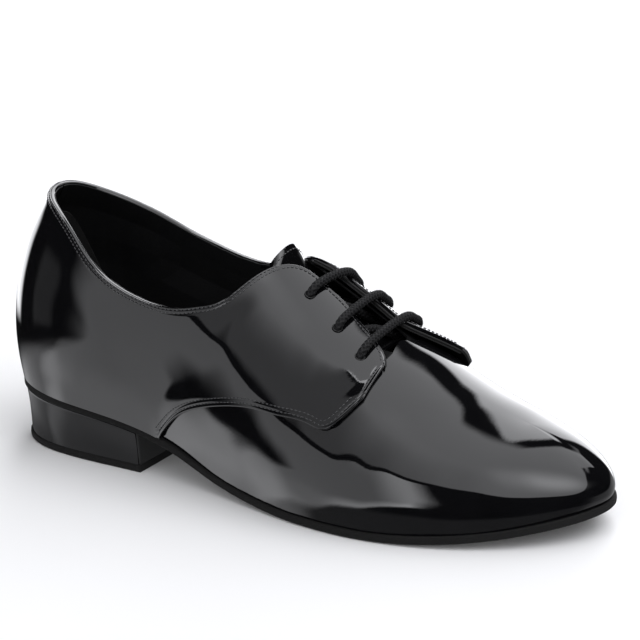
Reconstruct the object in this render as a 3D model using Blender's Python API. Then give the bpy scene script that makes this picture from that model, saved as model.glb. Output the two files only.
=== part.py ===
"""A man's low-heeled derby dance shoe for the right foot, built up in layers over its last.

Design lengths are millimetres: x runs from the heel's back to the toe, y from the outer
side (negative) to the inner side, z up from the ground. The model's origin is under the
middle of the shoe.
"""
import bmesh
import bpy
import numpy as np
from mathutils import Vector

MM = 0.001
CENTRE = (137.27, -1.82)     # middle of the shoe's plan, taken to the origin
OUTER_SIDE, INNER_SIDE = -1, 1

# The last's bottom edge, as control points from the heel's back to the toe's tip.
EDGE = {
    OUTER_SIDE: [(-.3, -7), (6, -20), (21, -29.5), (45, -32.5), (75, -33), (105, -36), (133, -43),
                 (158, -49), (183, -52), (207, -50), (229, -43.5), (249, -33.5), (266, -20.5), (277, -6)],
    INNER_SIDE: [(-.3, 7), (6, 20), (21, 29.5), (45, 31.5), (75, 29), (103, 26.5), (130, 30),
                 (157, 40), (183, 47.5), (208, 48.5), (231, 44), (251, 35), (267, 23.5), (277.5, 9)],
}
BOTTOM_X = [0, 35, 72, 92, 113, 135, 155, 175, 195, 215, 235, 255, 280]
BOTTOM_Z = [28, 25.5, 21.8, 17, 9.8, 5.5, 3.8, 3.5, 3.5, 4.4, 6.3, 9.3, 14.4]
RIDGE_X = [0, 60, 95, 115, 130, 146, 160, 174, 190, 215, 240, 262]
RIDGE_Z = [138, 137, 122, 108.5, 97, 86, 77.5, 70, 61.5, 49.5, 40.5, 34]
RIDGE_SPAN = (38, 240)      # the ridge line's two ends, which the heel and toe close around
RIDGE_SOFT = 9

# Layers, as distances out from the last's surface.
QUARTER = (1.4, 0.2)
VAMP = (-0.4, -1.4)
STIFFENER = (-2.1, -2.9)
THIN_LINING = (-0.6, -1.4)
SUNK_LINING = 1.7          # how far the lining drops where a vamp or stiffener lies above it
TOE_LINING = (-3.7, -4.5)
HEEL_GRIP = (-3.8, -4.5)

# Quarter outlines on each side: the top line and facing edge, then the seam and the tab's lower edge.
COLLAR = {
    OUTER_SIDE: [(24.5, 111), (42.4, 101.8), (55.9, 91.4), (68.7, 85.2), (80, 81.9), (97.2, 80.3),
                 (110.7, 82.7), (122.8, 89.1)],
    INNER_SIDE: [(17.3, 112), (24.1, 106.7), (34.6, 101.3), (47.1, 95.6), (61, 89.4), (76.3, 84.9),
                 (96, 81.5), (110.7, 83), (122.8, 88.3)],
}
HEEL_TOP = 113
FACING = {
    OUTER_SIDE: [(134.6, -5.6), (140, -1), (149, -0.6), (157.4, -1.5), (167.6, -5.9), (175, -9),
                 (179.8, -11.5), (183.6, -14.6), (185.8, -18.4)],
    INNER_SIDE: [(134.6, 16), (140, 14.8), (149, 14.4), (157.4, 14), (166.5, 12.6), (177, 11.5),
                 (184, 16), (190, 22), (194, 28)],
}
SEAM = {
    OUTER_SIDE: [(97.3, 30.5), (108.8, 37.4), (123.2, 42.3), (139.4, 45.1), (154.6, 44.8), (168.8, 43.6),
                 (177.3, 43), (183.1, 48.8), (186, 53)],
    INNER_SIDE: [(97.3, 30.5), (108.8, 36.4), (123.2, 40.8), (139.4, 43.1), (154.6, 42.8), (172, 40),
                 (183, 38.5), (190, 42), (194.3, 46)],
}
SEAM_FOOT = 87              # where the seam meets the sole
BEAD = 2.6                  # the leather stops this far below the top line, under the folded bead
BEAD_RADIUS = 1.3

EYELETS = {
    OUTER_SIDE: [(146.9, -11.5), (162.7, -16.2), (176.2, -21.1)],
    INNER_SIDE: [(147.5, 25), (162, 24.5), (176, 24.5)],
}
EYELET_HOLE = 3.6
EYELET_RING = (4.8, 3.7)
LACE_RADIUS = 1.9

SOLE_THICK = 3.05
SOLE_EDGE = 0.8             # the sole stands out past the last's edge
SOLE = (-SOLE_THICK - 0.4, -0.3)          # its underside and top, above the bottom edge
SHOE_X = (-0.2, 277.6)      # the last's back and tip, where the bottom's layers end
BOARD = (1.2, 2.8)          # insole board's underside and top, above the bottom edge
SOCK = (3.2, 4.3)
FILLER = (0.1, 0.8)
FILLER_INSET, FILLER_BACK = 16, 158
BOARD_INSET = 5.4
HEEL_FRONT = 73
HEEL_SEAT_GAP = 0.4
TOP_PIECE = 3.0
HEEL_FOOT = TOP_PIECE + 0.3   # where the heel's block and covers start, above the top piece
HEEL_TAPER = 1.6            # how far the heel's sides lean in towards the ground
COVER_THICK = 1.1
NAILS = [(14, 0), (28, -14), (28, 13), (54, -16), (54, 14)]
NAIL_RADIUS, NAIL_HEAD = 1.2, 2.6

HINGE_X, HINGE_Z = 204, 8.5
CREASE_BACK, CREASE_FRONT = -0.24, 0.36   # how the crease's two edges lean, in mm per mm of height
CUT = 0.25                                # half the gap between pieces that meet at the hinge


def spline(xs, ys):
    """Natural cubic through the points; the result also gives slopes."""
    xs, ys = np.asarray(xs, float), np.asarray(ys, float)
    h = np.diff(xs)
    n = len(xs)
    a = np.zeros((n, n))
    r = np.zeros((n,) + ys.shape[1:])
    a[0, 0] = a[-1, -1] = 1
    for i in range(1, n - 1):
        a[i, i - 1:i + 2] = h[i - 1], 2 * (h[i - 1] + h[i]), h[i]
        r[i] = 6 * ((ys[i + 1] - ys[i]) / h[i] - (ys[i] - ys[i - 1]) / h[i - 1])
    m = np.linalg.solve(a, r)

    def at(x, slope=False):
        x = np.asarray(x, float)
        i = np.clip(np.searchsorted(xs, x) - 1, 0, n - 2)
        w = h[i] if ys.ndim == 1 else h[i][..., None]
        s = (x - xs[i]) if ys.ndim == 1 else (x - xs[i])[..., None]
        c = (ys[i + 1] - ys[i]) / w - w * (2 * m[i] + m[i + 1]) / 6
        if slope:
            return c + s * m[i] + s * s * (m[i + 1] - m[i]) / (2 * w)
        return ys[i] + s * c + s * s * m[i] / 2 + s ** 3 * (m[i + 1] - m[i]) / (6 * w)
    return at


bottom_z = spline(BOTTOM_X, BOTTOM_Z)
ridge_z = spline(RIDGE_X, RIDGE_Z)


def edge(side, u):
    """The last's bottom edge in plan: u is 0 at the heel's back and 1 at the toe's tip."""
    own, other = np.array(EDGE[side], float), np.array(EDGE[-side], float)
    control = np.vstack([other[1], other[0], own, other[-1], other[-2]])
    k = np.clip(np.asarray(u, float) * 14 + 1.5, 1, 16 - 1e-9)
    i = np.floor(k).astype(int)
    f = (k - i)[..., None]
    return ((1 - f) ** 3 * control[i - 1] + (3 * f ** 3 - 6 * f * f + 4) * control[i]
            + (-3 * f ** 3 + 3 * f * f + 3 * f + 1) * control[i + 1] + f ** 3 * control[i + 2]) / 6


def soft_clamp(x, low, high, soft):
    raised = low + soft * np.logaddexp(0, (x - low) / soft)
    return high - soft * np.logaddexp(0, (high - raised) / soft)


def smooth(x, start, end):
    t = np.clip((x - start) / (end - start), 0, 1)
    return t * t * (3 - 2 * t)


def surface(side, u, t):
    """A point of the last: t is 0 at the bottom edge and 1 on the ridge."""
    u, t = np.broadcast_arrays(np.asarray(u, float), np.asarray(t, float))
    foot = edge(side, u)
    x, y = foot[..., 0], foot[..., 1]
    low = bottom_z(np.clip(x, 0, 280))
    rx = soft_clamp(x, *RIDGE_SPAN, RIDGE_SOFT)
    ry = np.interp(rx, [0, 100, 160, 230, 278], [0, 1.5, 2.5, 3, 3])
    fuller = 0.12 if side == INNER_SIDE else 0.0
    power = 2.3 - 1.4 * smooth(x, 0, 75) + fuller * smooth(x, 150, 220) * (1 - smooth(x, 235, 277))
    bulge = 9 - 5 * smooth(x, 150, 270)
    c, s = np.cos(t * np.pi / 2), np.sin(t * np.pi / 2)
    drop = -ridge_z(rx, True) * (x - rx) * np.clip((x - 150) / 60, 0, 1)
    rise = ridge_z(rx) - low - drop
    out = np.stack([x - rx, y - ry], -1)
    reach = np.linalg.norm(out, axis=-1)
    width = reach * np.abs(c) ** power + bulge * 2 * s * c * c
    plan = out / reach[..., None] * width[..., None]
    return np.stack([rx + plan[..., 0], ry + plan[..., 1], low + rise * s + drop * (1 - c)], -1)


def skin(side, u, t, off):
    """The last's surface moved out by off along its normal."""
    e = 1e-3
    point = surface(side, u, t)
    t = np.clip(t, e, 0.985)
    along = surface(side, u + e, t) - surface(side, u - e, t)
    up = surface(side, u, t + e) - surface(side, u, t - e)
    normal = side * np.cross(up, along)
    normal /= np.linalg.norm(normal, axis=-1, keepdims=True) + 1e-12
    return point + normal * np.asarray(off, float)[..., None]


def locate(side, x, y=None, z=None):
    """The (u, t) of the surface point with this x and either this y or this z."""
    u, t, span = 0.5, 0.5, 0.5
    for _ in range(14):
        us = np.clip(u + np.linspace(-span, span, 25), 0, 1)[:, None]
        ts = np.clip(t + np.linspace(-span, span, 25), 0, 1)[None, :]
        p = surface(side, us, ts)
        miss = (p[..., 0] - x) ** 2 + ((p[..., 1] - y) ** 2 if z is None else (p[..., 2] - z) ** 2)
        i, j = np.unravel_index(np.argmin(miss), miss.shape)
        u, t, span = us[i, 0], ts[0, j], span * 0.4
    return u, t


def u_at(side, x):
    """The bottom edge's u where it passes x."""
    u = np.linspace(0, 1, 2001)
    return np.interp(x, np.maximum.accumulate(edge(side, u)[:, 0]), u)


def through(points, start=0.0):
    """t as a smooth function of u through located points, from u = start on."""
    u, t = np.array(points).T
    curve = spline(u, t)
    return lambda q: curve(np.clip(q, start, u[-1]))


def height_on(side, u, z):
    """t where the wall over u reaches height z."""
    t = np.linspace(0, 1, 801)
    return float(np.interp(z, surface(side, u, t)[:, 2], t))


def quarter_lines(side):
    """A quarter's top and bottom edges as functions t(u), and the u of its tab's tip."""
    top = [(0, height_on(side, 0, HEEL_TOP - BEAD))]
    top += [locate(side, x, z=z - BEAD) for x, z in COLLAR[side]]
    top += [locate(side, x, y=y) for x, y in FACING[side]]
    low = [(u_at(side, SEAM_FOOT), 0.005)] + [locate(side, x, z=z) for x, z in SEAM[side]]
    tip = min(top[-1][0], low[-1][0])
    return through(top), through(low, start=low[0][0]), tip


def place(points):
    """Design millimetres to the model's own metres."""
    return (np.asarray(points, float) - np.array([*CENTRE, 0])) * MM


def material(name, colour, roughness, metallic=0.0):
    made = bpy.data.materials.new(name)
    made.use_nodes = True
    shader = made.node_tree.nodes["Principled BSDF"]
    shader.inputs["Base Color"].default_value = (*colour, 1)
    shader.inputs["Roughness"].default_value = roughness
    shader.inputs["Metallic"].default_value = metallic
    return made


def add_object(name, mesh_data, finish):
    made = bpy.data.objects.new(name, mesh_data)
    if finish is None:
        made.hide_render, made.display_type = True, "WIRE"
    else:
        mesh_data.materials.append(finish)
    bpy.context.collection.objects.link(made)
    return made


def shell(name, outer, inner, finish, folded=False):
    """A closed body between two grids of points, each rows x columns x 3.

    folded says that the last column closes on itself, so it needs no end wall.
    """
    rows, cols = outer.shape[:2]
    mesh = bmesh.new()
    bmesh.ops.create_grid(mesh, x_segments=cols - 1, y_segments=rows - 1, size=0.5)
    back = bmesh.ops.extrude_face_region(mesh, geom=mesh.faces[:])["geom"]
    back = {v for v in back if isinstance(v, bmesh.types.BMVert)}
    if folded:
        walls = [face for face in mesh.faces if all(v.co.x > 0.4999 for v in face.verts)]
        bmesh.ops.delete(mesh, geom=walls, context="FACES")
    outer, inner = place(outer), place(inner)
    for v in mesh.verts:
        grid = inner if v in back else outer
        v.co = grid[round((v.co.y + 0.5) * (rows - 1)), round((v.co.x + 0.5) * (cols - 1))]
    bmesh.ops.remove_doubles(mesh, verts=mesh.verts, dist=2e-6)
    bmesh.ops.triangulate(mesh, faces=mesh.faces)
    bmesh.ops.recalc_face_normals(mesh, faces=mesh.faces)
    if mesh.calc_volume(signed=True) < 0:
        bmesh.ops.reverse_faces(mesh, faces=mesh.faces)
    data = bpy.data.meshes.new(name)
    mesh.to_mesh(data)
    mesh.free()
    data.shade_smooth()
    data.set_sharp_from_angle(angle=0.7)
    return add_object(name, data, finish)


def cylinder(name, foot, head, radius, finish, segments=10):
    """A round bar from foot to head, in design millimetres."""
    foot, head = Vector(place(foot)), Vector(place(head))
    mesh = bmesh.new()
    bmesh.ops.create_cone(mesh, cap_ends=True, segments=segments, radius1=radius * MM, radius2=radius * MM,
                          depth=(head - foot).length)
    data = bpy.data.meshes.new(name)
    mesh.to_mesh(data)
    mesh.free()
    made = add_object(name, data, finish)
    made.location = (foot + head) / 2
    made.rotation_euler = (head - foot).to_track_quat("Z", "Y").to_euler()
    return made


def cut(target, cutters):
    for cutter in cutters:
        hole = target.modifiers.new(cutter.name, "BOOLEAN")
        hole.operation, hole.solver, hole.object = "DIFFERENCE", "EXACT", cutter


def crease_x(z, lean, gap=0.0):
    """x of one edge of the crease at height z."""
    return HINGE_X + gap + lean * np.maximum(z - HINGE_Z, 0)


def crease_u(side, t, lean, gap=0.0):
    """u where a row of the surface at t meets one edge of the crease."""
    u = np.linspace(0.45, 0.95, 400)
    p = surface(side, u, np.full_like(u, t))
    return float(np.interp(0, p[:, 0] - crease_x(p[:, 2], lean, gap), u))


def side_grid(side, u, t, off):
    return skin(side, u, t, np.broadcast_to(off, np.broadcast(u, t).shape))


def crease_edge(lean, gap):
    """One edge of the crease as a line u(side, t)."""
    def line(side, t):
        return crease_u(side, t, lean, gap)
    return line


def both_sides(start, end, columns, rows, off, t_low=0.004):
    """Grids across the ridge from the outer side's edge to the inner's, between two u(side, t) lines."""
    across = np.linspace(-1, 1, 2 * rows + 1)
    along = np.linspace(0, 1, columns + 1)
    grid = np.zeros((len(across), len(along), 3))
    for i, b in enumerate(across):
        side = INNER_SIDE if b > 0 else OUTER_SIDE
        t = t_low + (1 - t_low) * (1 - abs(b)) ** 0.8
        first, last = start(side, t), end(side, t)
        u = first + (last - first) * along
        depth = off(side, u, t) if callable(off) else np.full_like(u, off)
        grid[i] = skin(side, u, np.full_like(u, t), depth)
    if end(OUTER_SIDE, 0.5) == 1:
        grid[rows:, -1] = grid[rows::-1, -1]
    return grid


def cover_line(x):
    """Height above which nothing lies between the quarter and its lining."""
    return np.interp(x, [0, 30, 60, 88, 110, 162, 170, 181, 183.5], [86, 80, 62, 48, 55, 58, 55, 55, 80])


def lining_off(side, u, t):
    """How deep the lining lies: near the quarter at the top, below the stiffener and vamp lower down."""
    p = surface(side, u, t)
    return -SUNK_LINING * (1 - smooth(p[..., 2], cover_line(p[..., 0]), cover_line(p[..., 0]) + 5))


def quarter_columns(tip):
    middle, front = np.linspace(0.035, 0.93 * tip, 22), np.linspace(0.95 * tip, tip - 0.0015, 5)
    return np.concatenate([[0.0035], middle, front])


def columns_to(columns, front):
    """The quarter's columns, with those ahead of the facing's top spread to end at front."""
    start = 0.8 * columns[-1]
    stretch = (front - start) / (columns[-1] - start)
    return np.where(columns < start, columns, start + (columns - start) * stretch)


def quarter(side, name, finish, cutters):
    top, low, tip = quarter_lines(side)
    u = quarter_columns(tip)
    share = np.linspace(0, 1, 7)[:, None]
    bottom = np.where(u < u_at(side, SEAM_FOOT), 0.005, low(u))
    t = bottom + (top(u) - bottom) * share
    grid = [side_grid(side, u[None, :], t, off) for off in QUARTER]
    cut(shell(name, *grid, finish), cutters)


def quarter_lining(side, name, finish, cutters):
    top, _, tip = quarter_lines(side)
    throat = locate(side, 179, y=-11.5 if side < 0 else 12)[0]
    share = np.linspace(0, 1, 7)
    columns = quarter_columns(tip)

    def to_crease(rows):
        front = np.array([crease_u(side, t, CREASE_BACK, -CUT) for t in rows])
        return columns_to(columns, front[:, None])
    u = to_crease(share)
    t_top = np.where(u < throat, top(u), np.minimum(top(throat) + (u - throat) * 6, 0.975))
    t = 0.012 + (t_top - 0.012) * share[:, None]
    u = to_crease(t[:, -1])
    sunk = lining_off(side, u, t)
    grid = [skin(side, u, t, sunk + off) for off in THIN_LINING]
    cut(shell(name, *grid, finish), cutters)


def heel_wrap(name, reach, z_low, z_high, off, finish, rows=5):
    """A layer around the heel's back, reaching u = reach on each side."""
    half = 11
    s = np.linspace(-1, 1, 2 * half + 1)
    cols = []
    for q in s:
        side = INNER_SIDE if q > 0 else OUTER_SIDE
        u = abs(q) * reach
        fade = 1 - 0.45 * abs(q) ** 3
        t0 = height_on(side, u, float(bottom_z(edge(side, u)[0])) + z_low)
        t1 = height_on(side, u, z_low + (z_high - z_low) * fade)
        t = np.linspace(t0, t1, rows)
        cols.append([skin(side, np.full_like(t, u), t, np.full_like(t, o)) for o in off])
    outer, inner = (np.stack([c[k] for c in cols], 1) for k in (0, 1))
    for grid in (outer, inner):
        grid[:, half, 1] = 0.5 * (grid[:, half - 1, 1] + grid[:, half + 1, 1])
    shell(name, outer, inner, finish)


def vamp(finish):
    """The vamp's wings under the quarters, its crease and its front."""
    def wing(side, t):
        rear = [(u_at(side, SEAM_FOOT - 8), 0.0)] + [locate(side, x, z=z + 10) for x, z in SEAM[side][1:6]]
        rear += [locate(side, 184, z=55), (u_at(side, 184), 0.9), (u_at(side, 181.5), 1.0)]
        u, height = np.array(rear).T
        return float(np.interp(t, np.maximum.accumulate(height), u))

    def tip(side, t):
        return 1.0

    def toe(side, t):
        return front(side, t) + 0.075

    def sink(off):
        def depth(side, u, t):
            drop = TOE_LINING[0] - STIFFENER[0]
            return off + drop * smooth(u, toe(side, t) - 0.055, toe(side, t) - 0.012)
        return depth
    back, front = crease_edge(CREASE_BACK, -CUT), crease_edge(CREASE_FRONT, CUT)
    crease = crease_edge(CREASE_BACK, CUT), crease_edge(CREASE_FRONT, -CUT)
    shell("vamp_wings", *(both_sides(wing, back, 6, 8, off) for off in VAMP), finish["patent"])
    shell("vamp_crease", *(both_sides(*crease, 3, 8, off) for off in VAMP), finish["patent"])
    shell("vamp_front", *(both_sides(front, tip, 12, 8, off) for off in VAMP), finish["patent"],
          folded=True)
    shell("toe_puff", *(both_sides(toe, tip, 9, 6, off, 0.02) for off in STIFFENER), finish["board"],
          folded=True)
    shell("vamp_lining_crease", *(both_sides(*crease, 3, 8, off, 0.02) for off in STIFFENER),
          finish["lining"])
    shell("vamp_lining_front", *(both_sides(front, tip, 12, 6, sink(off), 0.03) for off in STIFFENER),
          finish["lining"], folded=True)


def plan_line(side, x, inset):
    """The last's bottom edge where it passes x, moved in by inset."""
    u = u_at(side, x)
    ahead, behind = edge(side, np.minimum(u + 0.004, 1)), edge(side, np.maximum(u - 0.004, 0))
    tangent = ahead - behind
    tangent /= np.linalg.norm(tangent, axis=-1, keepdims=True)
    inward = side * np.stack([tangent[..., 1], -tangent[..., 0]], -1)
    return edge(side, u) + inward * inset


def sheet(name, x0, x1, low, high, inset, finish, taper=0.0, columns=16, across=4, round_ends=(True, True)):
    """A flat layer of the bottom from x0 to x1, between two heights above the bottom edge's line.

    low and high are numbers added to that line, or functions of x.
    """
    a = np.linspace(0, 1, columns + 1)
    if round_ends[0] and round_ends[1]:
        a = (1 - np.cos(np.pi * a)) / 2
    elif round_ends[0]:
        a = 1 - np.cos(np.pi * a / 2)
    elif round_ends[1]:
        a = np.sin(np.pi * a / 2)
    x = x0 + (x1 - x0) * a
    b = np.linspace(0, 1, across + 1)[:, None, None]
    grids = []
    for height, shrink in ((high, 0.0), (low, taper)):
        sides = []
        for side in (OUTER_SIDE, INNER_SIDE):
            p = plan_line(side, x, inset + shrink)
            for end, square in ((0, not round_ends[0]), (-1, not round_ends[1])):
                if square:
                    p[end, 0] = x[end]
            sides.append(p)
        plan = sides[0][None] * (1 - b) + sides[1][None] * b
        z = height(plan[..., 0]) if callable(height) else bottom_z(np.clip(plan[..., 0], 0, 280)) + height
        grids.append(np.concatenate([plan, z[..., None]], -1))
    return shell(name, *grids, finish)


def bottom(finish, nail_holes):
    back, tip = SHOE_X
    rear, front = HINGE_X - CUT, HINGE_X + CUT
    rear_ends, front_ends = (True, False), (False, True)
    outsole = sheet("outsole_rear", back, rear, *SOLE, -SOLE_EDGE, finish["suede"],
                    round_ends=rear_ends, columns=24)
    cut(outsole, nail_holes)
    sheet("outsole_front", front, tip, *SOLE, -SOLE_EDGE, finish["suede"],
          round_ends=front_ends, columns=12)
    board = sheet("insole_board_rear", back, rear, *BOARD, BOARD_INSET, finish["board"],
                  round_ends=rear_ends, columns=22)
    cut(board, nail_holes)
    sheet("insole_board_front", front, tip, *BOARD, BOARD_INSET, finish["board"],
          round_ends=front_ends, columns=10)
    sheet("sock_lining_rear", back, rear, *SOCK, BOARD_INSET, finish["lining"],
          round_ends=rear_ends, columns=22)
    sheet("sock_lining_front", front, tip, *SOCK, BOARD_INSET, finish["lining"],
          round_ends=front_ends, columns=10)
    sheet("bottom_filler_rear", FILLER_BACK, rear, *FILLER, FILLER_INSET, finish["cork"],
          round_ends=(False, False), columns=6)
    sheet("bottom_filler_front", front, tip - FILLER_INSET, *FILLER, FILLER_INSET, finish["cork"],
          round_ends=front_ends, columns=8)


def shank(finish):
    """A spring-steel strip along the waist, between the sole and the insole board."""
    x = np.linspace(40, 152, 16)
    middle = np.array([plan_line(side, x, 0)[:, 1] for side in (OUTER_SIDE, INNER_SIDE)]).mean(0)
    half = 7 * np.sqrt(1 - 0.55 * np.abs((x - 96) / 56) ** 3)
    b = np.linspace(-1, 1, 3)[:, None]
    y = middle + half * b
    grids = [np.stack([np.broadcast_to(x, y.shape), y, bottom_z(x) + h + 0 * y], -1) for h in (0.9, 0.1)]
    shell("steel_shank", *grids, finish["steel"])


def seat(x):
    """Height of the heel's seat under the sole."""
    return bottom_z(np.clip(x, 0, 280)) + SOLE[0] - HEEL_SEAT_GAP


def flat(z):
    return lambda x: z + 0 * x


def heel(finish, nail_holes):
    block = sheet("heel_block", SHOE_X[0], HEEL_FRONT, flat(HEEL_FOOT), seat, COVER_THICK + 0.3,
                  finish["plastic"], taper=HEEL_TAPER, columns=14, round_ends=(True, False))
    cut(block, nail_holes)
    sheet("heel_top_piece", SHOE_X[0], HEEL_FRONT + 1.2, flat(0), flat(TOP_PIECE), 1.2,
          finish["suede"], columns=14, round_ends=(True, False))
    heel_cover(finish)
    heel_breast_cover(finish)


def heel_cover(finish):
    """Patent leather around the heel's back and sides."""
    steps = 13
    ends = {side: u_at(side, HEEL_FRONT) for side in (OUTER_SIDE, INNER_SIDE)}
    path = [(OUTER_SIDE, ends[OUTER_SIDE] * q) for q in np.linspace(1, 0, steps)]
    path += [(INNER_SIDE, ends[INNER_SIDE] * q) for q in np.linspace(0, 1, steps)[1:]]
    grids = []
    for depth in (0.1, COVER_THICK):
        cols = []
        for side, u in path:
            x = float(edge(side, u)[0])
            upper, lower = plan_line(side, x, depth), plan_line(side, x, depth + HEEL_TAPER)
            if u == 0:
                upper[1] = lower[1] = 0
            share = np.linspace(0, 1, 4)[:, None]
            plan = lower + (upper - lower) * share
            z = HEEL_FOOT + (float(seat(x)) - HEEL_FOOT) * share
            cols.append(np.concatenate([plan, z], 1))
        grids.append(np.stack(cols, 1))
    shell("heel_cover", *grids, finish["patent"])


def heel_breast_cover(finish):
    """Patent leather on the heel's front face."""
    y = np.linspace(-1, 1, 7)
    corner = [plan_line(side, HEEL_FRONT, 0.4)[1] for side in (OUTER_SIDE, INNER_SIDE)]
    line = np.interp(y, [-1, 1], corner)
    share = np.linspace(0, 1, 3)[:, None]
    z = HEEL_FOOT + (float(seat(HEEL_FRONT + 2)) - HEEL_FOOT) * share
    grids = []
    for x in (HEEL_FRONT + 1.3, HEEL_FRONT + 0.3):
        shrink = HEEL_TAPER * (1 - share)
        width = (line - line.mean()) * (1 - shrink / 32) + line.mean()
        grids.append(np.stack([np.full_like(width, x), width, np.broadcast_to(z, width.shape)], -1))
    shell("heel_breast_cover", *grids, finish["patent"])


def nails(finish):
    holes = []
    for i, (x, y) in enumerate(NAILS):
        top = float(bottom_z(x)) + BOARD[1] - 0.1
        cylinder(f"heel_nail_{i + 1}", (x, y, 8), (x, y, top), NAIL_RADIUS, finish["steel"], 8)
        hole = (x, y, 7.5), (x, y, top + 4)
        holes.append(cylinder(f"nail_hole_{i + 1}", *hole, NAIL_RADIUS + 0.3, None, 8))
    return holes


def eyelets(finish):
    """Ring washers behind each facing, and the hole cutters through both its layers."""
    holes = {OUTER_SIDE: [], INNER_SIDE: []}
    for side, word in ((OUTER_SIDE, "outer"), (INNER_SIDE, "inner")):
        for i, (x, y) in enumerate(EYELETS[side]):
            u, t = locate(side, x, y=y)
            foot, head = skin(side, u, t, -5.0), skin(side, u, t, 4.0)
            holes[side].append(cylinder(f"eyelet_hole_{word}_{i + 1}", foot, head, EYELET_HOLE, None, 12))
            axis = (head - foot) / np.linalg.norm(head - foot)
            depth = THIN_LINING[1] - (1.1 + 0.2 * i if side == INNER_SIDE else 0.8)
            centre = skin(side, u, t, 0.0)
            sunk = float(lining_off(side, np.array(u), np.array(t)))
            ring(f"eyelet_{word}_{i + 1}", centre + axis * (depth + sunk), axis, finish["metal"])
    return holes


def ring(name, top, axis, finish, thick=0.7, segments=14):
    """A flat washer whose upper face is centred at top, facing along axis."""
    axis = Vector(axis)
    across = axis.orthogonal().normalized()
    along = axis.cross(across)
    turn = np.linspace(0, 2 * np.pi, segments, endpoint=False)
    mesh = bmesh.new()
    loops = []
    wide, narrow = EYELET_RING
    for radius, down in ((wide, 0), (wide, thick), (narrow, thick), (narrow, 0)):
        points = [np.array(top) + radius * (np.cos(a) * np.array(across) + np.sin(a) * np.array(along))
                  - down * np.array(axis) for a in turn]
        loops.append([mesh.verts.new(place(p)) for p in points])
    for one, other in zip(loops, loops[1:] + loops[:1]):
        for i in range(segments):
            j = (i + 1) % segments
            mesh.faces.new((one[i], one[j], other[j], other[i]))
    bmesh.ops.recalc_face_normals(mesh, faces=mesh.faces)
    data = bpy.data.meshes.new(name)
    mesh.to_mesh(data)
    mesh.free()
    add_object(name, data, finish)


def rounded(points, count):
    """Points evenly spaced along a smooth curve through the given ones."""
    points = np.array(points, float)
    step = np.concatenate([[0], np.cumsum(np.sqrt(np.linalg.norm(np.diff(points, axis=0), axis=1)))])
    curve = spline(step, points)
    fine = curve(np.linspace(0, step[-1], 4000))
    run = np.concatenate([[0], np.cumsum(np.linalg.norm(np.diff(fine, axis=0), axis=1))])
    at = np.linspace(0, run[-1], count)
    return np.stack([np.interp(at, run, fine[:, k]) for k in range(3)], 1)


def tube(name, points, radius, finish, sides=2):
    curve = bpy.data.curves.new(name, "CURVE")
    curve.dimensions = "3D"
    curve.bevel_depth, curve.bevel_resolution, curve.use_fill_caps = radius * MM, sides, True
    run = curve.splines.new("POLY")
    run.points.add(len(points) - 1)
    for point, co in zip(run.points, place(points)):
        point.co = (*co, 1)
    return add_object(name, curve, finish)


def topline_bead(finish):
    """The folded collar edge, one bead from facing to facing around the heel."""
    points = []
    for side in (OUTER_SIDE, INNER_SIDE):
        top, _, tip = quarter_lines(side)
        u_end = locate(side, 130.5, z=92.5 - BEAD)[0] if side < 0 else locate(side, 131, y=17)[0]
        u = np.append(0, quarter_columns(tip))
        u = np.append(u[u < u_end - 0.01], u_end)
        t = top(u)
        p = skin(side, u, t, np.zeros_like(u))
        up = skin(side, u, t + 0.01, np.zeros_like(u)) - p
        up /= np.linalg.norm(up, axis=1)[:, None]
        p = p + up * (BEAD_RADIUS + 1.4)
        p[0, 1] = 0
        points.append(p[::-1] if side < 0 else p[1:])
    line = np.vstack(points)
    tube("topline_bead", rounded(line, 46), BEAD_RADIUS, finish["patent"], 1)


def on_wall(side, x, z, off):
    u, t = locate(side, x, z=z)
    return skin(side, u, t, off)


def lace(finish):
    """One cord: three bars over the throat, slanting runs between them under it, and tucked tails."""
    def at(side, i, off, toward=0.0, back=0.0):
        x, y = EYELETS[side][i]
        u, t = locate(side, x - back, y=y - side * toward)
        return skin(side, u, t, off)

    def end_of_bar(side, i):
        return [at(side, i, 4.0, 5.5), at(side, i, 3.0, 0.9), at(side, i, 0.4), at(side, i, -3.4)]
    bars = [[*end_of_bar(OUTER_SIDE, i)[::-1], at(INNER_SIDE, i, 4.3, 14), *end_of_bar(INNER_SIDE, i)]
            for i in range(3)]
    under = -5.4
    tail_out = [on_wall(OUTER_SIDE, x, z, -7.5) for x, z in ((118, 68), (130, 68), (146, 66), (160, 61))]
    tail_out.append(at(OUTER_SIDE, 2, under - 0.5, 0.5, 5))
    tail_in = [at(INNER_SIDE, 0, under, -1, 4)]
    tail_in += [on_wall(INNER_SIDE, x, z, -7.5) for x, z in ((134, 72), (124, 69), (114, 66))]
    def slant(i):
        return [at(INNER_SIDE, i + 1, under - 0.4, 4.5, 2), at(INNER_SIDE, i + 1, under, 18, 6.5),
                at(OUTER_SIDE, i, under - 0.2, 4.5, -2)]
    points = tail_out + bars[2] + slant(1) + bars[1] + slant(0) + bars[0] + tail_in
    line = rounded(points, 110)
    tube("lace", line, LACE_RADIUS, finish["cord"])
    for word, end, inner in (("outer", line[0], line[1]), ("inner", line[-1], line[-2])):
        away = (end - inner) / np.linalg.norm(end - inner)
        cylinder(f"aglet_{word}", end + away * 0.4, end + away * 14, 1.7, finish["tip"], 8)


def across_at(x, y):
    """The (side, u, t) of the throat's surface point at x and y."""
    ridge_y = float(np.interp(x, [100, 160, 230], [1.5, 2.5, 3]))
    side = INNER_SIDE if y > ridge_y else OUTER_SIDE
    u = float(u_at(side, x))
    t = np.linspace(0.4, 1, 400)
    p = surface(side, np.full_like(t, u), t)
    return side, u, float(np.interp(-side * y, -side * p[:, 1], t))


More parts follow.
